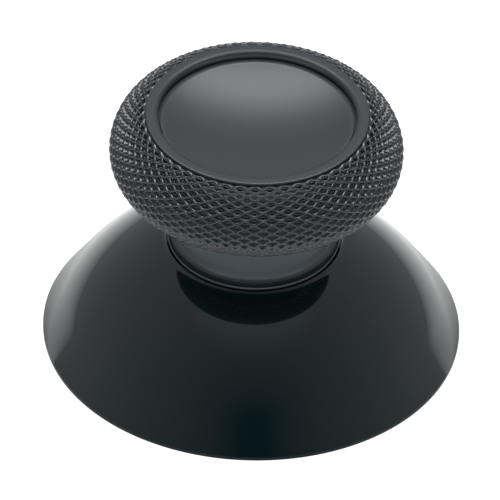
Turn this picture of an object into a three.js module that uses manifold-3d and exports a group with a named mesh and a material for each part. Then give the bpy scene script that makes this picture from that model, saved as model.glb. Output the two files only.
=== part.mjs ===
// Controller thumb grip: a glossy dome with a matte grip moulded over its stem.
// Millimetres, +Z up, the foot of the dome on Z = 0 and the axis of the grip on Z.
import * as THREE from 'three';
import { mergeVertices } from 'three/addons/utils/BufferGeometryUtils.js';
import Module from 'manifold-3d';

// Dome, first shot
const skirtRadius = 12.0;
const skirtWall = 1.0;
const domeRadius = 13.0;
const flankAngle = THREE.MathUtils.degToRad(56);
const footLand = 0.07;
const footChamfer = 0.15;

// Post under the dome, and its socket for the stick's shaft
const postRadius = 3.2;
const postRecess = 0.9;
const socketRadius = 2.03;
const socketFlats = 3.06;
const socketDepth = 6.2;
const leadIn = 0.3;
const ribCount = 4;
const ribThickness = 0.8;
const ribRecess = 1.5;
const ribReach = 8.2;

// Stem and anchor disc, moulded into the grip
const sleeveThickness = 1.0;
const discRadius = 6.3;
const discThickness = 1.2;
const discDepth = 2.1;
const bondLine = 0.03;

// Collar and neck of the grip
const collarRadius = 5.0;
const collarHeight = 0.22;
const collarEdge = 0.05;
const neckRadius = 4.3;
const neckFillet = 0.42;
const neckLength = 3.97;

// Knurled band
const headRadius = 8.46;
const bandDepth = 2.18;
const bandHeightBelow = 2.18;
const bandHeightAbove = 2.45;
const knurlCount = 50;
const knurlRows = 30;
const knurlDepth = 0.12;

// Rim, crease and thumb dish
const rimRadius = 6.46;
const rimStep = 0.18;
const rimInnerRadius = 5.91;
const rimRound = 0.21;
const recessDepth = 0.38;
const creaseWidth = 0.11;
const creaseDepth = 0.16;
const dishSag = 0.95;

// Facets
const domeSegments = 60;
const domeRings = 12;
const innerRings = 9;
const filletSteps = 3;
const roundSteps = 2;
const dishRings = 4;

// Heights that follow from the sizes above
const flankTopRadius = domeRadius * Math.sin(flankAngle);
const flankFootHeight = footLand + footChamfer;
const flankTopHeight = flankFootHeight + (skirtRadius - flankTopRadius) * Math.tan(flankAngle);
const domeCentre = flankTopHeight - domeRadius * Math.cos(flankAngle);
const seatHeight = sphereHeight(domeRadius, collarRadius);
const lipHeight = seatHeight + collarHeight;
const undersideHeight = lipHeight + neckLength;
const bandCentreRadius = headRadius - bandDepth;
const bandCentreHeight = undersideHeight + bandHeightBelow;
const stemRadius = neckRadius - sleeveThickness;

// Height of the sphere of the given radius about the dome's centre, at distance r from the axis
function sphereHeight(radius, r) {
  return domeCentre + Math.sqrt(radius * radius - r * r);
}

// Points on an arc about (r, z), from one angle to another, both ends included
function arc(r, z, radius, from, to, steps) {
  const curve = new THREE.EllipseCurve(r, z, radius, radius, from, to, from > to);
  return curve.getPoints(steps);
}

// Closed body of revolution about Z; the profile runs from the axis at the bottom to the axis at the top
function revolve(profile, segments) {
  const geometry = new THREE.LatheGeometry(profile, segments);
  geometry.rotateX(Math.PI / 2);
  return geometry;
}

// One shared vertex for each place, and no triangles without area on the axis
function weld(geometry) {
  const bare = geometry.clone();
  bare.deleteAttribute('normal');
  bare.deleteAttribute('uv');
  const merged = mergeVertices(bare, 1e-5);
  const index = merged.index.array;
  const kept = [];
  for (let i = 0; i < index.length; i += 3) {
    const [a, b, c] = [index[i], index[i + 1], index[i + 2]];
    if (a !== b && b !== c && c !== a) {
      kept.push(a, b, c);
    }
  }
  merged.setIndex(kept);
  return merged;
}

const wasm = await Module();
wasm.setup();

function toSolid(geometry) {
  const welded = weld(geometry);
  const vertProperties = new Float32Array(welded.attributes.position.array);
  const triVerts = new Uint32Array(welded.index.array);
  return new wasm.Manifold(new wasm.Mesh({ numProp: 3, vertProperties, triVerts }));
}

function toGeometry(solid) {
  const mesh = solid.getMesh();
  const geometry = new THREE.BufferGeometry();
  geometry.setAttribute('position', new THREE.BufferAttribute(mesh.vertProperties, 3));
  geometry.setIndex(new THREE.BufferAttribute(mesh.triVerts, 1));
  return geometry;
}

// Shell of the dome with the post below it and the stem and anchor disc above it
function domeProfile() {
  const innerRadius = domeRadius - skirtWall;
  const postTop = sphereHeight(innerRadius, postRadius);
  const innerFoot = skirtRadius + flankFootHeight / Math.tan(flankAngle) - skirtWall / Math.sin(flankAngle);
  const postAngle = Math.acos(postRadius / innerRadius);
  const flankNormal = Math.PI / 2 - flankAngle;
  const seatAngle = Math.acos(collarRadius / domeRadius);
  const discTop = undersideHeight + discDepth;
  const points = [
    new THREE.Vector2(0, postRecess),
    new THREE.Vector2(postRadius, postRecess),
    new THREE.Vector2(postRadius, postTop),
  ];
  points.push(...arc(0, domeCentre, innerRadius, postAngle, flankNormal, innerRings).slice(1));
  points.push(
    new THREE.Vector2(innerFoot, 0),
    new THREE.Vector2(skirtRadius - footChamfer, 0),
    new THREE.Vector2(skirtRadius, footChamfer),
    new THREE.Vector2(skirtRadius, flankFootHeight),
  );
  points.push(...arc(0, domeCentre, domeRadius, flankNormal, seatAngle, domeRings));
  points.push(
    new THREE.Vector2(stemRadius, seatHeight),
    new THREE.Vector2(stemRadius, discTop - discThickness),
    new THREE.Vector2(discRadius, discTop - discThickness),
    new THREE.Vector2(discRadius, discTop),
    new THREE.Vector2(0, discTop),
  );
  return points;
}

// Double-flat socket for the stick's shaft, open at the post's lower end, with a tapered lead-in
function socketCut() {
  const halfFlats = socketFlats / 2;
  const turn = Math.asin(halfFlats / socketRadius);
  const outline = new THREE.Shape();
  outline.absarc(0, 0, socketRadius, -turn, turn, false);
  outline.absarc(0, 0, socketRadius, Math.PI - turn, Math.PI + turn, false);
  outline.closePath();
  const hole = new THREE.ExtrudeGeometry(outline, {
    depth: socketDepth + leadIn,
    bevelEnabled: false,
    curveSegments: 8,
  });
  hole.translate(0, 0, postRecess - leadIn);
  const mouth = [
    new THREE.Vector2(0, postRecess - leadIn),
    new THREE.Vector2(socketRadius + 2 * leadIn, postRecess - leadIn),
    new THREE.Vector2(socketRadius, postRecess + leadIn),
    new THREE.Vector2(0, postRecess + leadIn),
  ];
  return toSolid(hole).add(toSolid(revolve(mouth, domeSegments)));
}

// Rib between post and dome: its lower edge slopes up from the post, its upper edge ends inside the wall
function rib(turn) {
  const midWall = domeRadius - skirtWall / 2;
  const rootRadius = postRadius - ribThickness / 2;
  const outline = new THREE.Shape();
  outline.moveTo(rootRadius, postRecess + ribRecess);
  outline.lineTo(postRadius, postRecess + ribRecess);
  const reachAngle = Math.acos(ribReach / midWall);
  const rootAngle = Math.acos(rootRadius / midWall);
  for (const point of arc(0, domeCentre, midWall, reachAngle, rootAngle, innerRings)) {
    outline.lineTo(point.x, point.y);
  }
  outline.closePath();
  const plate = new THREE.ExtrudeGeometry(outline, { depth: ribThickness, bevelEnabled: false });
  plate.translate(0, 0, -ribThickness / 2);
  plate.rotateX(Math.PI / 2);
  plate.rotateZ(turn);
  return toSolid(plate);
}

function domeSkirt() {
  let solid = toSolid(revolve(domeProfile(), domeSegments));
  for (let i = 0; i < ribCount; i += 1) {
    solid = solid.add(rib((2 * Math.PI * (i + 0.5)) / ribCount));
  }
  return toGeometry(solid.subtract(socketCut()));
}

// Rows of the knurl, evenly spaced along the band's section from the underside to the rim's step
function knurlPath() {
  const topAngle = Math.acos((rimRadius - bandCentreRadius) / bandDepth);
  const path = new THREE.Path();
  path.absellipse(bandCentreRadius, bandCentreHeight, bandDepth, bandHeightBelow, -Math.PI / 2, 0, false);
  path.absellipse(bandCentreRadius, bandCentreHeight, bandDepth, bandHeightAbove, 0, topAngle, false);
  return path.getSpacedPoints(knurlRows);
}

// Section of the grip without its knurl; firstRow says where the knurl's rows start in the list
function gripProfile() {
  const ceiling = undersideHeight + discDepth + bondLine;
  const pocketRadius = discRadius + bondLine;
  const undercut = undersideHeight + discDepth - discThickness - bondLine;
  const sleeveRadius = stemRadius + bondLine;
  const filletCentre = new THREE.Vector2(neckRadius + neckFillet, lipHeight + neckFillet);
  const points = [
    new THREE.Vector2(0, ceiling),
    new THREE.Vector2(pocketRadius, ceiling),
    new THREE.Vector2(pocketRadius, undercut),
    new THREE.Vector2(sleeveRadius, undercut),
    new THREE.Vector2(sleeveRadius, seatHeight + bondLine),
    new THREE.Vector2(collarRadius, seatHeight + bondLine),
    new THREE.Vector2(collarRadius, lipHeight - collarEdge),
    new THREE.Vector2(collarRadius - collarEdge, lipHeight),
  ];
  points.push(...arc(filletCentre.x, filletCentre.y, neckFillet, -Math.PI / 2, -Math.PI, filletSteps));
  points.push(new THREE.Vector2(neckRadius, undersideHeight));
  const firstRow = points.length;
  points.push(...knurlPath());
  const rimHeight = points[points.length - 1].y + rimStep;
  const wallRadius = rimInnerRadius - rimRound;
  const dishEdge = wallRadius - creaseWidth;
  const dishHeight = rimHeight - recessDepth;
  points.push(new THREE.Vector2(rimRadius, rimHeight));
  points.push(...arc(rimInnerRadius, rimHeight - rimRound, rimRound, Math.PI / 2, Math.PI, roundSteps));
  points.push(
    new THREE.Vector2(wallRadius, dishHeight - creaseDepth),
    new THREE.Vector2(dishEdge, dishHeight - creaseDepth),
  );
  const dishRadius = (dishEdge * dishEdge + dishSag * dishSag) / (2 * dishSag);
  const dishCentre = dishHeight - dishSag + dishRadius;
  const edgeAngle = -Math.acos(dishEdge / dishRadius);
  points.push(...arc(0, dishCentre, dishRadius, edgeAngle, -Math.PI / 2, dishRings));
  points[points.length - 1].x = 0;
  return { points, firstRow };
}

// Diamond knurl: every second vertex of the band sinks along the section's normal, and each quad is
// split along its groove, so that four facets rise to a point between crossing grooves
function gripHead() {
  const { points, firstRow } = gripProfile();
  const lastRow = firstRow + knurlRows;
  const columns = 2 * knurlCount;
  const geometry = new THREE.LatheGeometry(points, columns);
  const position = geometry.attributes.position;
  const rows = points.length;
  const isGroove = (column, row) => (column + row) % 2 === 1;
  for (let row = firstRow; row <= lastRow; row += 1) {
    const before = points[Math.max(row - 1, firstRow)];
    const after = points[Math.min(row + 1, lastRow)];
    const tangent = after.clone().sub(before).normalize();
    const radius = points[row].x - knurlDepth * tangent.y;
    const height = points[row].y + knurlDepth * tangent.x;
    for (let column = 0; column <= columns; column += 1) {
      if (isGroove(column, row)) {
        const turn = (2 * Math.PI * (column % columns)) / columns;
        position.setXYZ(column * rows + row, radius * Math.sin(turn), height, radius * Math.cos(turn));
      }
    }
  }
  const index = [];
  for (let column = 0; column < columns; column += 1) {
    for (let row = 0; row < rows - 1; row += 1) {
      const a = column * rows + row;
      const b = a + rows;
      const c = b + 1;
      const d = a + 1;
      if (isGroove(column, row)) {
        index.push(a, b, c, a, c, d);
      } else {
        index.push(a, b, d, c, d, b);
      }
    }
  }
  geometry.setIndex(index);
  geometry.rotateX(Math.PI / 2);
  return weld(geometry);
}

const glossPlastic = new THREE.MeshStandardMaterial({ color: '#15191b', roughness: 0.12, metalness: 0 });
const softTouch = new THREE.MeshStandardMaterial({ color: '#3b3f42', roughness: 0.75, metalness: 0 });

const dome = new THREE.Mesh(domeSkirt(), glossPlastic);
dome.name = 'dome_skirt';

const grip = new THREE.Mesh(gripHead(), softTouch);
grip.name = 'grip_head';

const thumbGrip = new THREE.Group();
thumbGrip.name = 'thumb_grip';
thumbGrip.add(dome, grip);

export default thumbGrip;
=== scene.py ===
"""Controller thumb grip: a polished dome with a soft-touch, diamond-knurled grip moulded over its stem.

Metres, +Z up, the dome's foot on Z = 0 and the grip's axis on Z. The front of the part looks along -Y.
"""

import math

import bpy
import numpy as np
from bpy.props import FloatProperty, FloatVectorProperty, IntProperty, PointerProperty
from mathutils import Matrix, Vector


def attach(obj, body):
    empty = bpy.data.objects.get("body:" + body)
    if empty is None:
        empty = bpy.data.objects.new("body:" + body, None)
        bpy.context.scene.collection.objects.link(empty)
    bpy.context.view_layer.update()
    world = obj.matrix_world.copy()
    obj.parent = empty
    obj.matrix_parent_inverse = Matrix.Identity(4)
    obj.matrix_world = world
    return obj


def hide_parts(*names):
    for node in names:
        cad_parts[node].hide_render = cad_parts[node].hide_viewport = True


bl_info = {
    "name": "Controller thumb grip",
    "version": (1, 0, 0),
    "blender": (4, 5, 0),
    "location": "3D View > Sidebar > Thumb grip",
    "description": "Builds a glossy stick dome with a knurled soft-touch grip over it, and its studio",
    "category": "Object",
}

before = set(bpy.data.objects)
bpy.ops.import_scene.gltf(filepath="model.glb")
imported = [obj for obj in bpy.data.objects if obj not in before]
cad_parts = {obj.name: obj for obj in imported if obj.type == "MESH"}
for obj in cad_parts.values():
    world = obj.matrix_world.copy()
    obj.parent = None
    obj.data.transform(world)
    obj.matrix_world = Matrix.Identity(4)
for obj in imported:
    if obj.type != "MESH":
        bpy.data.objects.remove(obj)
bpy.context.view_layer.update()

MM = 0.001
FULL_TURN = 2.0 * math.pi
SHARP_EDGE = math.radians(32)
SOFT_EDGE = math.radians(75)
DOME_NODE = "dome_skirt"
GRIP_NODE = "grip_head"
BODY = "root"


# Sizes and colours

def millimetres(label, value, text):
    """A length property whose default is given in millimetres."""
    return FloatProperty(
        name=label, description=text, default=value * MM, min=0.0, unit="LENGTH", precision=5,
    )


def colour(label, hex_value, text):
    """A colour property whose default is an sRGB hex value."""
    return FloatVectorProperty(
        name=label, description=text, default=linear(hex_value)[:3],
        min=0.0, max=1.0, size=3, subtype="COLOR",
    )


def linear(hex_value):
    """An sRGB hex colour as linear red, green, blue and alpha."""
    channels = [int(hex_value[i:i + 2], 16) / 255.0 for i in (1, 3, 5)]
    return tuple(c / 12.92 if c <= 0.04045 else ((c + 0.055) / 1.055) ** 2.4 for c in channels) + (1.0,)


class THUMBGRIP_PG_dome(bpy.types.PropertyGroup):
    """Sizes and colours of the dome, its post and its stem"""

    skirt_radius: millimetres("Skirt radius", 12.0, "Outer radius of the dome's foot")
    wall: millimetres("Wall", 1.0, "Wall thickness of the dome")
    dome_radius: millimetres("Dome radius", 13.0, "Radius of the sphere that the dome's top follows")
    flank_angle: FloatProperty(
        name="Flank angle", description="Slope of the dome's flank above the horizontal",
        default=math.radians(56), min=0.5, max=1.5, subtype="ANGLE",
    )
    flank_foot: millimetres("Flank foot", 0.22, "Height at which the sloping flank starts")
    foot_round: millimetres("Foot rounding", 0.03, "Rounding of the foot's outer edge")
    collar_fillet: millimetres("Collar fillet", 0.08, "Height by which the dome turns up at the collar")
    post_radius: millimetres("Post radius", 3.2, "Outer radius of the post under the dome")
    post_recess: millimetres("Post recess", 0.9, "Height of the post's lower end above the foot")
    socket_radius: millimetres("Socket radius", 2.03, "Radius of the round sides of the socket")
    socket_flats: millimetres("Socket flats", 3.06, "Distance between the two flats of the socket")
    socket_depth: millimetres("Socket depth", 6.2, "Depth of the socket in the post")
    lead_in: millimetres("Lead-in", 0.3, "Width and height of the funnel at the socket's mouth")
    rib_thickness: millimetres("Rib thickness", 0.8, "Thickness of the ribs between post and dome")
    rib_recess: millimetres("Rib recess", 1.5, "Height of the ribs' root above the post's lower end")
    rib_reach: millimetres("Rib reach", 8.2, "Distance from the axis at which the ribs end inside the wall")
    rib_count: IntProperty(name="Ribs", description="Number of ribs", default=4, min=0, max=12)
    disc_radius: millimetres("Disc radius", 6.3, "Radius of the anchor disc inside the grip")
    disc_thickness: millimetres("Disc thickness", 1.2, "Thickness of the anchor disc")
    plastic: colour("Plastic", "#051619", "Body colour of the polished plastic")


class THUMBGRIP_PG_grip(bpy.types.PropertyGroup):
    """Sizes and colours of the grip"""

    sleeve: millimetres("Sleeve", 1.0, "Thickness of the grip's skin round the stem")
    disc_depth: millimetres("Disc depth", 2.1, "Height of the anchor disc's top above the grip's underside")
    bond_line: millimetres("Bond line", 0.03, "Gap between grip and stem")
    collar_radius: millimetres("Collar radius", 5.0, "Radius of the collar that rests on the dome")
    collar_height: millimetres("Collar height", 0.22, "Height of the collar's lip above the dome")
    collar_edge: millimetres("Collar edge", 0.035, "Rounding of the collar's lip")
    neck_radius: millimetres("Neck radius", 4.3, "Radius of the neck")
    neck_fillet: millimetres("Neck fillet", 0.48, "Radius of the fillet at the neck's foot")
    neck_length: millimetres("Neck length", 3.97, "Distance from the collar's top to the grip's underside")
    head_radius: millimetres("Head radius", 8.46, "Largest radius of the grip")
    band_depth: millimetres("Band depth", 2.18, "Half width of the band's elliptical section")
    band_below: millimetres("Band height below", 2.18, "Half height of the band under its widest ring")
    band_above: millimetres("Band height above", 2.45, "Half height of the band over its widest ring")
    knurl_depth: millimetres("Knurl depth", 0.2, "Depth of the diamond pits below the ridges")
    knurl_sag: millimetres("Knurl sag", 0.05, "Depth of the ridges between their crossings")
    knurl_start: millimetres("Knurl start", 0.44, "Distance from the rim to the last crossing")
    knurl_count: IntProperty(name="Knurl count", description="Diamonds round the grip", default=50, min=8)
    knurl_rows: IntProperty(name="Knurl rows", description="Half diamonds up the band", default=28, min=4)
    rim_radius: millimetres("Rim radius", 6.44, "Outer radius of the rim round the dish")
    rim_step: millimetres("Rim step", 0.178, "Height of the rim above the knurl")
    rim_inner: millimetres("Rim inner radius", 5.89, "Radius at which the rim starts to slope inwards")
    rim_round: millimetres("Rim slope", 0.19, "Width of the slope at the rim's inner edge")
    recess: millimetres("Recess", 0.38, "Depth of the dish's edge below the rim")
    crease_width: millimetres("Crease width", 0.12, "Width of the crease round the dish")
    crease_depth: millimetres("Crease depth", 0.16, "Depth of the crease below the dish's edge")
    dish_sag: millimetres("Dish sag", 0.95, "Depth of the thumb dish")
    rubber: colour("Soft touch", "#2a3034", "Body colour of the soft-touch skin")


class THUMBGRIP_PG_studio(bpy.types.PropertyGroup):
    """View, floor and light of the studio"""

    elevation: FloatProperty(
        name="Elevation", description="Height of the camera above the horizon",
        default=math.radians(38.8), subtype="ANGLE",
    )
    roll: FloatProperty(
        name="Roll", description="Turn of the picture", default=math.radians(1.68), subtype="ANGLE",
    )
    distance: FloatProperty(
        name="Distance", description="Distance from the camera to the part", default=1.0, unit="LENGTH",
    )
    frame_width: millimetres("Frame width", 28.69, "Width of the picture at the part")
    shift_right: FloatProperty(
        name="Shift right", description="Place of the picture's centre to the right of the axis",
        default=-0.0654 * MM, unit="LENGTH",
    )
    shift_up: FloatProperty(
        name="Shift up", description="Place of the picture's centre above the foot, across the view",
        default=4.516 * MM, unit="LENGTH",
    )


SETTINGS = {
    "thumb_grip_dome": THUMBGRIP_PG_dome,
    "thumb_grip_grip": THUMBGRIP_PG_grip,
    "thumb_grip_studio": THUMBGRIP_PG_studio,
}


# Surfaces

def arc(r, z, radius, start, end, steps, height=None):
    """Points on a circle or ellipse about (r, z): the centre plus radius times cosine and height times sine,
    with the angle going evenly from start to end in degrees."""
    angle = np.radians(np.linspace(start, end, steps + 1))
    return np.stack([r + radius * np.cos(angle), z + (height or radius) * np.sin(angle)], axis=1)


def line(r0, z0, r1, z1, steps):
    """Points (r, z) at even distances on a straight line, both ends included."""
    return np.linspace([r0, z0], [r1, z1], steps + 1)


def joined(*parts):
    """One profile from several, each point once where the end of one is the start of the next."""
    points = np.concatenate([np.atleast_2d(np.asarray(p, float)) for p in parts])
    step = np.linalg.norm(np.diff(points, axis=0), axis=1)
    return points[np.concatenate([[True], step > 1e-9])]


def revolved(profile, angles):
    """Rings of a body of revolution: ring i has radius r(i) and height z(i), and column j lies at angle(j),
    so that a point is (r cos a, r sin a, z)."""
    r, z = profile[:, 0, None], profile[:, 1, None]
    return np.stack([r * np.cos(angles), r * np.sin(angles), z + 0.0 * angles], axis=2)


def ring_quads(rings, columns):
    """Quads between neighbouring rings of a closed grid, as corner numbers, anticlockwise from outside."""
    row = np.arange(rings - 1)[:, None] * columns
    here = np.arange(columns)[None, :]
    after = (here + 1) % columns
    return np.stack([row + here, row + after, row + columns + after, row + columns + here], axis=2)


def strip(rings):
    """Corners and quads of a stack of rings."""
    return rings.reshape(-1, 3), ring_quads(*rings.shape[:2]).reshape(-1, 4)


def fan(ring, pole, upward):
    """Corners and triangles from a ring to a pole: the shell's last pole if upward, and its first if not."""
    here = np.arange(len(ring))
    after = (here + 1) % len(ring)
    sides = (here, after) if upward else (after, here)
    return np.concatenate([ring, [pole]]), np.stack([*sides, np.full(len(ring), len(ring))], axis=1)


def welded(*parts):
    """One shell from parts that share corners: corners at the same tenth of a nanometre become one."""
    corners = np.concatenate([p[0] for p in parts])
    start = np.cumsum([0] + [len(p[0]) for p in parts])
    kept, number = np.unique(np.rint(corners * 1e10).astype(np.int64), axis=0, return_inverse=True)
    number = number.reshape(-1)
    place = np.zeros((len(kept), 3))
    place[number] = corners
    faces = []
    for first, (_, part_faces) in zip(start, parts):
        faces.extend(number[np.asarray(part_faces) + first].tolist())
    return place, faces


def closed_shell(rings, first_pole, last_pole):
    """A closed shell: a stack of rings with a fan of triangles to a pole at each end."""
    return welded(strip(rings), fan(rings[0], first_pole, False), fan(rings[-1], last_pole, True))


def add_piece(name, shells, material, node, sharp=SHARP_EDGE):
    """Puts closed shells into one mesh, shaded smooth with sharp edges kept, and ties it to the frame."""
    corners, faces, start = [], [], 0
    for shell_corners, shell_faces in shells:
        corners.append(shell_corners)
        faces.extend([[start + c for c in face] for face in shell_faces])
        start += len(shell_corners)
    mesh = bpy.data.meshes.new(name)
    mesh.from_pydata(np.concatenate(corners).tolist(), [], faces)
    mesh.validate()
    mesh.polygons.foreach_set("use_smooth", np.ones(len(mesh.polygons), bool))
    mesh.set_sharp_from_angle(angle=sharp)
    mesh.materials.append(material)
    piece = bpy.data.objects.new(name, mesh)
    bpy.context.scene.collection.objects.link(piece)
    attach(piece, BODY)
    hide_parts(node)
    return piece


# Dome

def heights(dome, grip):
    """Heights that both pieces share, worked out from their sizes: the sphere's centre, the seat on the dome,
    the collar's top, the grip's underside and the widest ring of the knurled band."""
    flank_top = dome.dome_radius * math.sin(dome.flank_angle)
    centre = dome.flank_foot + (dome.skirt_radius - flank_top) * math.tan(dome.flank_angle)
    centre -= dome.dome_radius * math.cos(dome.flank_angle)
    seat = centre + math.sqrt(dome.dome_radius**2 - grip.collar_radius**2)
    lip = seat + grip.collar_height
    underside = lip + grip.neck_length
    band = underside + grip.band_below
    return {"centre": centre, "seat": seat, "lip": lip, "underside": underside, "band": band}


def dome_rings(dome, grip, columns=384):
    """The dome as one closed surface, from the socket's ceiling down its wall, out over the post's end, up
    the post, along the inside, round the foot and up over the outside to the stem and its disc. Each ring is
    round apart from those of the socket, whose radius is the smaller of the socket's own radius and half the
    flats' distance divided by the sine of the angle. Near the collar the dome turns up by the fourth power
    of the way, and a narrow slot lies between it and the collar."""
    h = heights(dome, grip)
    half_flats = dome.socket_flats / 2
    angles = np.arange(columns) * FULL_TURN / columns
    corner = math.asin(half_flats / dome.socket_radius)
    for exact in (corner, math.pi - corner, math.pi + corner, FULL_TURN - corner):
        angles[np.argmin(np.abs(angles - exact))] = exact

    ceiling = dome.post_recess + dome.socket_depth
    funnel = dome.post_recess + dome.lead_in
    ledge = 0.06 * MM
    socket_heights = [ceiling, ceiling, funnel + ledge]
    reach = np.minimum(dome.socket_radius, half_flats / np.maximum(np.abs(np.sin(angles)), 1e-6))
    socket_reach = [0.5 * reach, reach, reach]
    socket = [np.stack([r * np.cos(angles), r * np.sin(angles), np.full(columns, z)], axis=1)
              for r, z in zip(socket_reach, socket_heights)]

    inner = dome.dome_radius - dome.wall
    post_top = h["centre"] + math.sqrt(inner**2 - dome.post_radius**2)
    slope = math.degrees(dome.flank_angle)
    inner_foot = dome.skirt_radius + dome.flank_foot / math.tan(dome.flank_angle)
    inner_foot -= dome.wall / math.sin(dome.flank_angle)
    flank_start = math.sin(dome.flank_angle) * inner, h["centre"] + math.cos(dome.flank_angle) * inner
    post_start = math.degrees(math.acos(dome.post_radius / inner))
    beside_post = 0.4
    post_round = 0.12 * MM
    post_low, post_high = dome.post_recess + 1.0 * MM, post_top - 0.4 * MM
    disc_top = h["underside"] + grip.disc_depth
    disc_low = disc_top - dome.disc_thickness
    stem = grip.neck_radius - grip.sleeve
    slot_width, slot_depth = 0.05 * MM, 0.25 * MM
    slot_edge = 0.015 * MM, 0.03 * MM
    turn_width, turn_steps = 0.38 * MM, 10
    recess = grip.collar_radius + slot_width
    slot_inner, slot_floor = grip.collar_radius - slot_depth, h["seat"] - slot_depth
    turn = np.linspace(grip.collar_radius + turn_width, recess + slot_edge[0], turn_steps)
    turned_up = dome.collar_fillet * np.linspace(0, 1, turn_steps) ** 4
    turn_angle = math.degrees(math.acos(turn[0] / dome.dome_radius))
    flank_end = (
        math.sin(dome.flank_angle) * dome.dome_radius,
        h["centre"] + math.cos(dome.flank_angle) * dome.dome_radius,
    )
    rest = joined(
        [dome.socket_radius, funnel],
        [dome.socket_radius + dome.lead_in, dome.post_recess],
        arc(dome.post_radius - post_round, dome.post_recess + post_round, post_round, -90, 0, 3),
        line(dome.post_radius, post_low, dome.post_radius, post_high, 3),
        [dome.post_radius, post_top],
        arc(0, h["centre"], inner, post_start - beside_post, 90 - slope, 24),
        line(*flank_start, inner_foot, 0.0, 5),
        line(inner_foot, 0.0, dome.skirt_radius - dome.foot_round, 0.0, 2),
        arc(dome.skirt_radius - dome.foot_round, dome.foot_round, dome.foot_round, -90, 0, 5),
        line(dome.skirt_radius, dome.flank_foot, *flank_end, 8),
        arc(0, h["centre"], dome.dome_radius, 90 - slope, turn_angle, 30),
        np.column_stack([turn, np.sqrt(dome.dome_radius**2 - turn**2) + h["centre"] + turned_up]),
        [recess, h["seat"] + dome.collar_fillet - slot_edge[1]],
        [recess, slot_floor],
        [slot_inner, slot_floor],
        [slot_inner, h["seat"]],
        [stem, h["seat"]],
        [stem, disc_low],
        [dome.disc_radius, disc_low],
        [dome.disc_radius, disc_top],
        [dome.disc_radius * 0.4, disc_top],
    )
    rings = np.concatenate([np.stack(socket), revolved(rest, angles)])
    return rings, (0.0, 0.0, ceiling), (0.0, 0.0, disc_top)


def rib_shell(dome, centre, turn, steps=24):
    """One rib: an upright rectangle with rounded lower edges, carried outwards from inside the post to inside
    the dome's wall. Its lower edge rises evenly from the post, and its upper edge follows the middle of the
    wall."""
    middle = dome.dome_radius - dome.wall / 2
    root = dome.post_radius - dome.rib_thickness / 2
    end_gap, edge_round = 0.05 * MM, 0.12 * MM
    r = np.linspace(root, dome.rib_reach - end_gap, steps)[:, None]
    upper = centre + np.sqrt(middle**2 - r**2)
    low_start = dome.post_recess + dome.rib_recess
    low_end = centre + math.sqrt(middle**2 - dome.rib_reach**2)
    share = np.clip((r - dome.post_radius) / (dome.rib_reach - dome.post_radius), 0, 1)
    lower = low_start + share * (low_end - low_start)
    half = dome.rib_thickness / 2
    soft = np.minimum(edge_round, (upper - lower) / 3)
    bend = np.radians(np.linspace(0, 90, 4))
    inwards = [soft * (1 - math.cos(a)) for a in bend]
    lifted = [lower + soft * (1 - math.sin(a)) for a in bend]
    side = half + 0 * soft
    right, left = [half - i for i in inwards], [-half + i for i in inwards[::-1]]
    across = np.concatenate([side, *right, *left, -side], axis=1)
    up = np.concatenate([upper, *lifted, *lifted[::-1], upper], axis=1)
    along = r + 0 * across
    c, s = math.cos(turn), math.sin(turn)
    rings = np.stack([along * c - across * s, along * s + across * c, up], axis=2)
    columns = rings.shape[1]
    corners = rings.reshape(-1, 3)
    faces = ring_quads(steps, columns)[:, :, ::-1].reshape(-1, 4).tolist()
    faces.append(list(range(columns)))
    faces.append([(steps - 1) * columns + i for i in range(columns)][::-1])
    return corners, faces


# Grip

# Places of a diamond's corners between opposite ridges, and the pit's section from its middle to the ridge:
# the places, then the heights as shares of the knurl's depth.
LEVELS = np.array([-1.0, -0.79, -0.52, -0.2, 0.2, 0.52, 0.79, 1.0])
PIT_PROFILE = ((0.0, 0.2, 0.52, 0.79, 1.0), (-1.0, -0.95, -0.54, -0.12, 0.0))


def knurl_height(grip, p, q):
    """Height of a diamond at p and q, which go from -1 to 1 between opposite ridges. The larger of |p| and
    |q| gives the depth of the pit, and the sag between crossings grows with one less the smaller's square."""
    near, along = np.maximum(abs(p), abs(q)), np.minimum(abs(p), abs(q))
    return grip.knurl_depth * np.interp(near, *PIT_PROFILE) - grip.knurl_sag * (1 - along**2)


def band_section(grip, h):
    """The knurled band's section, from the underside's flat to the rim's step: a quarter of one ellipse, then
    most of a quarter of another above it. Columns are the distance along it, r, z and the direction's r and
    z."""
    centre = grip.head_radius - grip.band_depth
    top = math.degrees(math.acos((grip.rim_radius - centre) / grip.band_depth))
    fine = joined(
        arc(centre, h["band"], grip.band_depth, -90, 0, 400, grip.band_below),
        arc(centre, h["band"], grip.band_depth, 0, top, 400, grip.band_above),
    )
    length = np.concatenate([[0], np.cumsum(np.linalg.norm(np.diff(fine, axis=0), axis=1))])
    direction = np.gradient(fine, axis=0)
    direction /= np.linalg.norm(direction, axis=1, keepdims=True)
    return np.column_stack([length, fine, direction])


def knurl_points(grip, section, column, row, height):
    """Points of the knurled band. Column and row are counted in thousandths of a half diamond, from the front
    and from the underside. Rows are evenly spaced up to the last crossing below the rim, which has a place of
    its own. A point lies on the section at its row and moves along the section's normal by its height, of
    which a small share is left at both ends."""
    end_share = 0.15
    column, row = column % (2000 * grip.knurl_count) / 1000, row / 1000
    length, rows = section[-1, 0], grip.knurl_rows
    at = np.interp(row, [0, rows - 2, rows], [0, length - grip.knurl_start, length])
    r, z, along_r, along_z = (np.interp(at, section[:, 0], section[:, i]) for i in (1, 2, 3, 4))
    angle = column / (2 * grip.knurl_count) * FULL_TURN - math.pi / 2
    height = height * np.interp(row, [0, 1, rows - 1, rows], [end_share, 1, 1, end_share])
    r, z = r + height * along_z, z - height * along_r
    return np.stack([r * np.cos(angle), r * np.sin(angle), z], axis=-1)


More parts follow.
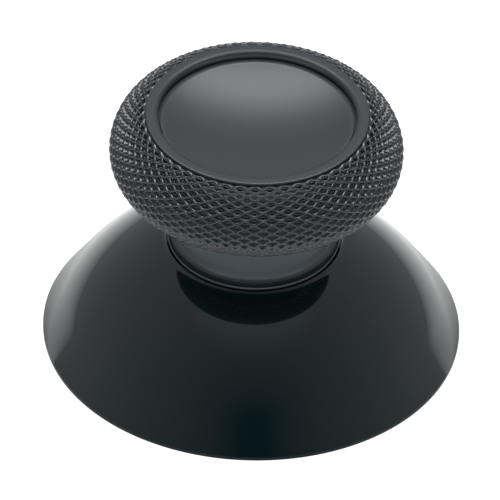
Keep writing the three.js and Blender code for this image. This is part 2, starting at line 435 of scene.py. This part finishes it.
def knurl_patch(grip, section):
    """The diamonds of the knurled band. In each diamond p and q go from -1 to 1 between opposite ridges, at
    the LEVELS, and a corner lies (p + q) / 2 half diamonds to the right of the middle and (p - q) / 2 above
    it. The first and the last row of middles lie on the band's ends, so their diamonds are halves."""
    p, q = np.meshgrid(LEVELS, LEVELS, indexing="ij")
    right, above = np.rint(500 * (p + q)).ravel(), np.rint(500 * (p - q)).ravel()
    lift = knurl_height(grip, p, q).ravel()
    steps, size = len(LEVELS) - 1, len(LEVELS)
    whole, upper, lower = [], [], []
    for i in range(steps):
        for j in range(steps):
            here = i * size + j
            rising, falling, across = here + size, here + 1, here + size + 1
            if i + j == steps - 1:
                cell = [(here, falling, rising), (rising, falling, across)]
            else:
                cell = [(here, falling, across), (here, across, rising)]
            whole += cell
            upper += cell if i > j else cell[1:] if i == j else []
            lower += cell if i < j else cell[:1] if i == j else []
    columns, rows, faces = [], [], []
    for row in range(grip.knurl_rows + 1):
        kind = upper if row == 0 else lower if row == grip.knurl_rows else whole
        for k in range(grip.knurl_count):
            faces.append(np.array(kind) + len(columns) * size**2)
            columns.append(right + 1000 * (2 * k + (row + 1) % 2))
            rows.append((above + 1000 * row).clip(0, 1000 * grip.knurl_rows))
    height = np.tile(lift, len(columns))
    points = knurl_points(grip, section, np.concatenate(columns), np.concatenate(rows), height)
    return points, np.concatenate(faces)


def grip_shell(dome, grip):
    """The grip as one closed surface, from the ceiling of its pocket down round the disc and stem, over the
    collar's lip and the gutter behind it, up the neck, round the knurled band, over the groove at its top and
    the rim, and into the dish, which is part of a sphere. Plain rings have their corners at the same angles
    as the diamonds of the band's ends."""
    h = heights(dome, grip)
    stem = grip.neck_radius - grip.sleeve
    ceiling = h["underside"] + grip.disc_depth + grip.bond_line
    pocket = dome.disc_radius + grip.bond_line
    undercut = h["underside"] + grip.disc_depth - dome.disc_thickness - grip.bond_line
    sleeve = stem + grip.bond_line
    seat = h["seat"] + grip.bond_line
    edge = grip.collar_edge
    fillet = grip.neck_fillet
    crown = 0.15 * MM
    gutter_depth, slot_gap = 0.12 * MM, 0.06 * MM
    foot_bevel_in, foot_bevel_up = 0.04 * MM, 0.03 * MM
    gutter_lean, gutter_bevel_in, gutter_bevel_up = 0.01 * MM, 0.05 * MM, 0.03 * MM
    neck_gap_low, neck_gap_high, flat_gap = 0.2 * MM, 0.1 * MM, 0.3 * MM
    gutter = h["lip"] - gutter_depth
    collar = grip.collar_radius - slot_gap
    behind_lip = collar - 2 * edge
    neck_start = gutter + fillet
    neck_end = h["underside"] - crown
    below = joined(
        [pocket * 0.5, ceiling],
        [pocket, ceiling],
        [pocket, undercut],
        [sleeve, undercut],
        [sleeve, seat],
        [collar - foot_bevel_in, seat],
        [collar, seat + foot_bevel_up],
        arc(collar - edge, h["lip"] - edge, edge, 0, 180, 4),
        [behind_lip - gutter_lean, gutter + gutter_bevel_up],
        [behind_lip - gutter_bevel_in, gutter],
        arc(grip.neck_radius + fillet, neck_start, fillet, 270, 180, 4),
        line(grip.neck_radius, neck_start + neck_gap_low, grip.neck_radius, neck_end - neck_gap_high, 3),
        arc(grip.neck_radius + crown, neck_end, crown, 180, 90, 4),
        [grip.head_radius - grip.band_depth - flat_gap, h["underside"]],
    )
    section = band_section(grip, h)
    band_top = section[-1, 2]
    top = band_top + grip.rim_step
    corner = 0.04 * MM
    wall = grip.rim_inner - grip.rim_round
    dish_edge = wall - grip.crease_width
    dish_top = top - grip.recess
    sphere = (dish_edge**2 + grip.dish_sag**2) / (2 * grip.dish_sag)
    opening = math.degrees(math.acos(dish_edge / sphere))
    lip_round = 0.02 * MM
    groove_start, groove_width, groove_depth = 0.01 * MM, 0.04 * MM, 0.05 * MM
    rim_foot, rim_flat = 0.01 * MM, 0.2 * MM
    slope_in, slope_down, slope_end = 0.02 * MM, 0.005 * MM, 0.1 * MM
    rim_side = grip.rim_radius - groove_width
    groove_floor = band_top - groove_depth
    above = joined(
        [grip.rim_radius - groove_start, groove_floor],
        [rim_side, groove_floor],
        [rim_side, band_top + rim_foot],
        arc(rim_side - corner, top - corner, corner, 0, 90, 3),
        line(grip.rim_radius - rim_flat, top, grip.rim_inner, top, 2),
        line(grip.rim_inner - slope_in, top - slope_down, wall, top - slope_end, 2),
        [wall, dish_top - grip.crease_depth],
        [dish_edge, dish_top - grip.crease_depth],
        [dish_edge, dish_top - lip_round],
        arc(0, dish_top - grip.dish_sag + sphere, sphere, -opening - 0.05, -90, 18)[:-1],
    )
    column = (1000 * (2 * np.arange(grip.knurl_count)[:, None] + 1) + np.rint(1000 * LEVELS[:-1])).ravel()
    side = np.tile(LEVELS[:-1], grip.knurl_count)
    height = knurl_height(grip, side, side)
    ends = [
        knurl_points(grip, section, column, 0 * column + 1000 * row, height)
        for row in (0, grip.knurl_rows)
    ]
    angles = column / (2000 * grip.knurl_count) * FULL_TURN - math.pi / 2
    low, high = revolved(below, angles), revolved(above, angles)
    return welded(
        fan(low[0], (0.0, 0.0, ceiling), False),
        strip(np.concatenate([low, ends[:1]])),
        knurl_patch(grip, section),
        strip(np.concatenate([ends[1:], high])),
        fan(high[-1], (0.0, 0.0, dish_top - grip.dish_sag), True),
    )


# Materials

def node(tree, kind, inputs=None, **settings):
    """Adds a node with its settings, and links each of its inputs to a socket or gives it a value."""
    made = tree.nodes.new(kind)
    for name, value in settings.items():
        setattr(made, name, value)
    for key, source in (inputs or {}).items():
        if isinstance(source, bpy.types.NodeSocket):
            tree.links.new(source, made.inputs[key])
        else:
            made.inputs[key].default_value = source
    return made


def new_material(name):
    """An empty node material, its tree and its output node."""
    material = bpy.data.materials.new(name)
    material.use_nodes = True
    material.node_tree.nodes.clear()
    return material, material.node_tree, material.node_tree.nodes.new("ShaderNodeOutputMaterial")


def polished_abs(body):
    """Black ABS from a polished mould: a dark, slightly green body under a clear, almost sharp reflection.
    The mould's last polishing leaves very shallow waves a few millimetres long, which bend reflections a
    little, and a haze that comes and goes."""
    wave_length, haze_size, wave_height = 3.2 * MM, 2.2 * MM, 0.004 * MM
    clearest, haziest = 0.035, 0.06
    material, tree, output = new_material("polished_black_abs")
    place = node(tree, "ShaderNodeTexCoord")
    waves = node(tree, "ShaderNodeTexNoise", {
        "Vector": place.outputs["Object"], "Scale": 1 / wave_length, "Detail": 1.0,
    })
    haze = node(tree, "ShaderNodeTexNoise", {
        "Vector": place.outputs["Object"], "Scale": 1 / haze_size, "Detail": 3.0,
    })
    roughness = node(tree, "ShaderNodeMapRange", {
        "Value": haze.outputs["Fac"], "From Min": 0.3, "From Max": 0.7, "To Min": clearest, "To Max": haziest,
    })
    bump = node(tree, "ShaderNodeBump", {
        "Height": waves.outputs["Fac"], "Strength": 1.0, "Distance": wave_height,
    })
    shader = node(tree, "ShaderNodeBsdfPrincipled", {
        "Base Color": (*body, 1.0), "IOR": 1.53,
        "Roughness": roughness.outputs["Result"], "Normal": bump.outputs["Normal"],
    })
    tree.links.new(shader.outputs["BSDF"], output.inputs["Surface"])
    return material


def soft_touch(body):
    """Soft-touch thermoplastic rubber over a matt mould: a grey skin with a wide, weak sheen and a grain of
    about 0.05 mm, drawn at 0.09 mm so that it shows. Its finish follows the mould's: the collar's lip is the
    smoothest and the neck above it the most matt, and the knurl outside the rim is smoother than the dish,
    with a stronger gleam. The neck and collar are made paler than the dish as painted light, and the knurl
    darker as painted shade in its pits."""
    grain_size, cloud_size, grain_height = 0.09 * MM, 1.6 * MM, 0.004 * MM
    lip_roughness, neck_roughness, dish_roughness, knurl_roughness = 0.14, 0.42, 0.33, 0.2
    # Painted light on the neck and collar, which are made paler, and painted shade on the knurl, which is
    # made darker
    neck_painted_light, knurl_painted_shade = 1.75, 0.5
    dark, light = (*[0.94 * c for c in body], 1.0), (*[1.06 * c for c in body], 1.0)
    outside_rim = {"From Min": 6.3 * MM, "From Max": 6.4 * MM}
    above_lip = {"From Min": 7.0 * MM, "From Max": 7.2 * MM}
    above_neck = {"From Min": 10.85 * MM, "From Max": 10.95 * MM}
    material, tree, output = new_material("soft_touch_rubber")
    place = node(tree, "ShaderNodeTexCoord")
    grain = node(tree, "ShaderNodeTexNoise", {
        "Vector": place.outputs["Object"], "Scale": 1 / grain_size, "Detail": 2.0,
    })
    cloud = node(tree, "ShaderNodeTexNoise", {
        "Vector": place.outputs["Object"], "Scale": 1 / cloud_size, "Detail": 3.0,
    })
    tone = node(tree, "ShaderNodeMix", {
        "Factor": cloud.outputs["Fac"], "A": dark, "B": light,
    }, data_type="RGBA", clamp_factor=True)
    bump = node(tree, "ShaderNodeBump", {
        "Height": grain.outputs["Fac"], "Strength": 1.0, "Distance": grain_height,
    })
    parts = node(tree, "ShaderNodeSeparateXYZ", {"Vector": place.outputs["Object"]})
    flat = node(tree, "ShaderNodeCombineXYZ", {"X": parts.outputs["X"], "Y": parts.outputs["Y"]})
    radius = node(tree, "ShaderNodeVectorMath", {0: flat.outputs["Vector"]}, operation="LENGTH")
    head = node(tree, "ShaderNodeMapRange", {
        "Value": radius.outputs["Value"], **outside_rim, "To Min": dish_roughness, "To Max": knurl_roughness,
    })
    collar = node(tree, "ShaderNodeMapRange", {
        "Value": parts.outputs["Z"], **above_lip, "To Min": lip_roughness, "To Max": neck_roughness,
    })
    finish = node(tree, "ShaderNodeMapRange", {
        "Value": parts.outputs["Z"], **above_neck,
        "To Min": collar.outputs["Result"], "To Max": head.outputs["Result"],
    })
    # Painted shade: the knurl's colour outside the rim is darkened to stand for shade in its pits
    head_painted_shade = node(tree, "ShaderNodeMapRange", {
        "Value": radius.outputs["Value"], **outside_rim, "To Min": 1.0, "To Max": knurl_painted_shade,
    })
    # Painted light below the head: the neck and collar's colour is raised above the dish's
    painted_light_and_shade = node(tree, "ShaderNodeMapRange", {
        "Value": parts.outputs["Z"], **above_neck,
        "To Min": neck_painted_light, "To Max": head_painted_shade.outputs["Result"],
    })
    skin_with_painted_light = node(tree, "ShaderNodeVectorMath", {
        0: tone.outputs["Result"], "Scale": painted_light_and_shade.outputs["Result"],
    }, operation="SCALE")
    gleam = node(tree, "ShaderNodeMapRange", {
        "Value": radius.outputs["Value"], **outside_rim, "To Min": 0.5, "To Max": 0.7,
    })
    shader = node(tree, "ShaderNodeBsdfPrincipled", {
        "Base Color": skin_with_painted_light.outputs["Vector"], "IOR": 1.5, "Specular Tint": linear("#faf8ff"),
        "Roughness": finish.outputs["Result"], "Specular IOR Level": gleam.outputs["Result"],
        "Normal": bump.outputs["Normal"],
    })
    tree.links.new(shader.outputs["BSDF"], output.inputs["Surface"])
    return material


# Studio

def studio_floor():
    """White paper on a table. The camera sees it at full white, and the part's shadow stays on it.
    Reflections see a weak even glow, and a bright patch round the part whose strength is one over one plus
    the square of distance over its width. The patch grows from nothing at the foot, so that the paper close
    to it is dim."""
    even, patch_strength, patch_width, camera_strength = 0.12, 0.98, 37 * MM, 0.9
    material, tree, output = new_material("white_paper_floor")
    paper = node(tree, "ShaderNodeBsdfDiffuse", {"Color": (0.5, 0.5, 0.5, 1.0)})
    path = node(tree, "ShaderNodeLightPath")
    place = node(tree, "ShaderNodeTexCoord")
    reach = node(tree, "ShaderNodeVectorMath", {0: place.outputs["Object"]}, operation="LENGTH")
    fade = node(tree, "ShaderNodeMath", {0: reach.outputs["Value"], 1: patch_width}, operation="DIVIDE")
    square = node(tree, "ShaderNodeMath", {
        0: fade.outputs[0], 1: fade.outputs[0], 2: 1.0,
    }, operation="MULTIPLY_ADD")
    start = node(tree, "ShaderNodeMapRange", {
        "Value": reach.outputs["Value"],
        "From Min": 12.2 * MM, "From Max": 15.0 * MM, "To Max": patch_strength,
    })
    patch = node(tree, "ShaderNodeMath", {
        0: start.outputs["Result"], 1: square.outputs[0],
    }, operation="DIVIDE")
    paper_glow = node(tree, "ShaderNodeMath", {0: patch.outputs[0], 1: even}, operation="ADD")
    level = node(tree, "ShaderNodeMix", {
        "Factor": path.outputs["Is Camera Ray"], "A": paper_glow.outputs[0], "B": camera_strength,
    }, data_type="FLOAT")
    glow = node(tree, "ShaderNodeEmission", {"Strength": level.outputs[0]})
    both = node(tree, "ShaderNodeAddShader", {0: paper.outputs[0], 1: glow.outputs[0]})
    tree.links.new(both.outputs[0], output.inputs["Surface"])
    material.cycles.emission_sampling = "NONE"
    half = 3.0
    below_foot = 0.01 * MM
    corners = [(-half, -half, 0), (half, -half, 0), (half, half, 0), (-half, half, 0)]
    mesh = bpy.data.meshes.new("studio_floor")
    mesh.from_pydata(corners, [], [(0, 1, 2, 3)])
    mesh.materials.append(material)
    floor = bpy.data.objects.new("studio_floor", mesh)
    floor.location.z = -below_foot
    bpy.context.scene.collection.objects.link(floor)


def overhead_softbox():
    """A wide softbox above and a little behind the part: a flat rectangle whose half sizes are its distance
    times the tangents of the half angles that it fills."""
    lean, away, strength = math.radians(24), 0.5, 7.2
    half_wide, half_deep = math.radians(25), math.radians(10.5)
    material, tree, output = new_material("softbox_cloth")
    glow = node(tree, "ShaderNodeEmission", {"Strength": strength})
    tree.links.new(glow.outputs[0], output.inputs["Surface"])
    wide, deep = away * math.tan(half_wide), away * math.tan(half_deep)
    flat = np.array([(-wide, -deep, away), (-wide, deep, away), (wide, deep, away), (wide, -deep, away)])
    turn = np.array([[1, 0, 0], [0, math.cos(lean), math.sin(lean)], [0, -math.sin(lean), math.cos(lean)]])
    mesh = bpy.data.meshes.new("overhead_softbox")
    mesh.from_pydata((flat @ turn.T).tolist(), [], [(0, 1, 2, 3)])
    mesh.materials.append(material)
    box = bpy.data.objects.new("overhead_softbox", mesh)
    box.visible_camera = False
    bpy.context.scene.collection.objects.link(box)


def studio_world():
    """White for the camera. For everything else a pale tent that dims towards an opening in front, by a power
    of the angle from there, with more light overhead and a low band of light in front."""
    lift = math.radians(23)
    opening = (0.05, -math.cos(lift), math.sin(lift))
    dim, pale, power = (0.028, 0.062, 0.076, 1.0), (0.55, 0.55, 0.55, 1.0), 0.7
    top_light, front_light, front_strength = (0.19, 0.29, 0.31), (0.92, 1.0, 0.97), 2.1
    world = bpy.data.worlds.new("studio_world")
    world.use_nodes = True
    bpy.context.scene.world = world
    tree = world.node_tree
    tree.nodes.clear()
    output = tree.nodes.new("ShaderNodeOutputWorld")
    place = node(tree, "ShaderNodeTexCoord")
    towards = node(tree, "ShaderNodeVectorMath", {
        0: place.outputs["Generated"], 1: opening,
    }, operation="DOT_PRODUCT")
    angle = node(tree, "ShaderNodeMath", {0: towards.outputs["Value"]}, operation="ARCCOSINE")
    share = node(tree, "ShaderNodeMapRange", {
        "Value": angle.outputs[0], "From Min": math.radians(8), "From Max": math.radians(92),
    })
    rise = node(tree, "ShaderNodeMath", {0: share.outputs["Result"], 1: power}, operation="POWER")
    tent = node(tree, "ShaderNodeMix", {
        "Factor": rise.outputs[0], "A": dim, "B": pale,
    }, data_type="RGBA")
    parts = node(tree, "ShaderNodeSeparateXYZ", {"Vector": place.outputs["Generated"]})
    overhead = node(tree, "ShaderNodeMapRange", {
        "Value": parts.outputs["Z"], "From Min": 0.86, "From Max": 1.0,
    })
    tent_and_top = node(tree, "ShaderNodeVectorMath", {
        0: overhead.outputs["Result"], 1: top_light, 2: tent.outputs["Result"],
    }, operation="MULTIPLY_ADD")
    low = node(tree, "ShaderNodeMapRange", {
        "Value": parts.outputs["Z"],
        "From Min": 0.17, "From Max": 0.27, "To Min": front_strength, "To Max": 0.0,
    })
    front = node(tree, "ShaderNodeMapRange", {
        "Value": parts.outputs["Y"], "From Min": -0.2, "From Max": -0.4, "To Max": low.outputs["Result"],
    })
    all_light = node(tree, "ShaderNodeVectorMath", {
        0: front.outputs["Result"], 1: front_light, 2: tent_and_top.outputs["Vector"],
    }, operation="MULTIPLY_ADD")
    path = node(tree, "ShaderNodeLightPath")
    seen = node(tree, "ShaderNodeMix", {
        "Factor": path.outputs["Is Camera Ray"], "A": all_light.outputs["Vector"], "B": (1.0, 1.0, 1.0, 1.0),
    }, data_type="RGBA")
    sky = node(tree, "ShaderNodeBackground", {"Color": seen.outputs["Result"]})
    tree.links.new(sky.outputs[0], output.inputs["Surface"])


def lens(studio):
    """Camera along the photograph's view: it looks down by the elevation and is rolled a little. The
    picture's width is measured at the part's middle height, so the lens is the sensor's width times distance
    over width."""
    sensor, middle_height = 36.0, 7.9 * MM
    e, roll = studio.elevation, studio.roll
    view = Vector((0, math.cos(e), -math.sin(e)))
    level, steep = Vector((1, 0, 0)), Vector((0, math.sin(e), math.cos(e)))
    right = level * math.cos(roll) + steep * math.sin(roll)
    up = steep * math.cos(roll) - level * math.sin(roll)
    middle = Vector((0, 0, middle_height))
    aim = right * studio.shift_right + up * studio.shift_up + view * middle.dot(view)
    data = bpy.data.cameras.new("product_camera")
    data.sensor_width = sensor
    data.lens = sensor * studio.distance / studio.frame_width
    data.clip_start, data.clip_end = 0.05, 50.0
    camera = bpy.data.objects.new("product_camera", data)
    turn = Matrix((right, up, -view)).transposed()
    camera.matrix_world = Matrix.Translation(aim - view * studio.distance) @ turn.to_4x4()
    bpy.context.scene.collection.objects.link(camera)
    bpy.context.scene.camera = camera


# Operators and panel

class THUMBGRIP_OT_dome(bpy.types.Operator):
    """Build the polished dome with its post, socket, ribs and stem"""

    bl_idname = "thumb_grip.dome"
    bl_label = "Build dome"

    def execute(self, context):
        dome, grip = context.scene.thumb_grip_dome, context.scene.thumb_grip_grip
        rings, low, high = dome_rings(dome, grip)
        shells = [closed_shell(rings, low, high)]
        centre = heights(dome, grip)["centre"]
        for i in range(dome.rib_count):
            shells.append(rib_shell(dome, centre, FULL_TURN * (i + 0.5) / dome.rib_count))
        add_piece("dome_moulding", shells, polished_abs(dome.plastic), DOME_NODE)
        return {"FINISHED"}


class THUMBGRIP_OT_grip(bpy.types.Operator):
    """Build the soft-touch grip with its neck, diamond knurl, rim and dish"""

    bl_idname = "thumb_grip.grip"
    bl_label = "Build grip"

    def execute(self, context):
        dome, grip = context.scene.thumb_grip_dome, context.scene.thumb_grip_grip
        rubber = soft_touch(grip.rubber)
        add_piece("grip_moulding", [grip_shell(dome, grip)], rubber, GRIP_NODE, SOFT_EDGE)
        return {"FINISHED"}


class THUMBGRIP_OT_studio(bpy.types.Operator):
    """Build the floor, the light and the camera"""

    bl_idname = "thumb_grip.studio"
    bl_label = "Build studio"

    def execute(self, context):
        studio_floor()
        overhead_softbox()
        studio_world()
        lens(context.scene.thumb_grip_studio)
        context.scene.view_settings.view_transform = "Standard"
        return {"FINISHED"}


class THUMBGRIP_PT_panel(bpy.types.Panel):
    """Lists the sizes and the steps that build the thumb grip"""

    bl_idname = "THUMBGRIP_PT_panel"
    bl_label = "Thumb grip"
    bl_space_type = "VIEW_3D"
    bl_region_type = "UI"
    bl_category = "Thumb grip"

    def draw(self, context):
        layout = self.layout
        for operator in (THUMBGRIP_OT_dome, THUMBGRIP_OT_grip, THUMBGRIP_OT_studio):
            layout.operator(operator.bl_idname)
        for key, group in SETTINGS.items():
            box = layout.box()
            for name in group.__annotations__:
                box.prop(getattr(context.scene, key), name)


CLASSES = (*SETTINGS.values(), THUMBGRIP_OT_dome, THUMBGRIP_OT_grip, THUMBGRIP_OT_studio, THUMBGRIP_PT_panel)


def register():
    for cls in CLASSES:
        bpy.utils.register_class(cls)
    for key, group in SETTINGS.items():
        setattr(bpy.types.Scene, key, PointerProperty(type=group))


def unregister():
    for key in SETTINGS:
        delattr(bpy.types.Scene, key)
    for cls in reversed(CLASSES):
        bpy.utils.unregister_class(cls)


def main():
    register()
    bpy.ops.thumb_grip.dome()
    bpy.ops.thumb_grip.grip()
    bpy.ops.thumb_grip.studio()


if __name__ == "__main__":
    main()
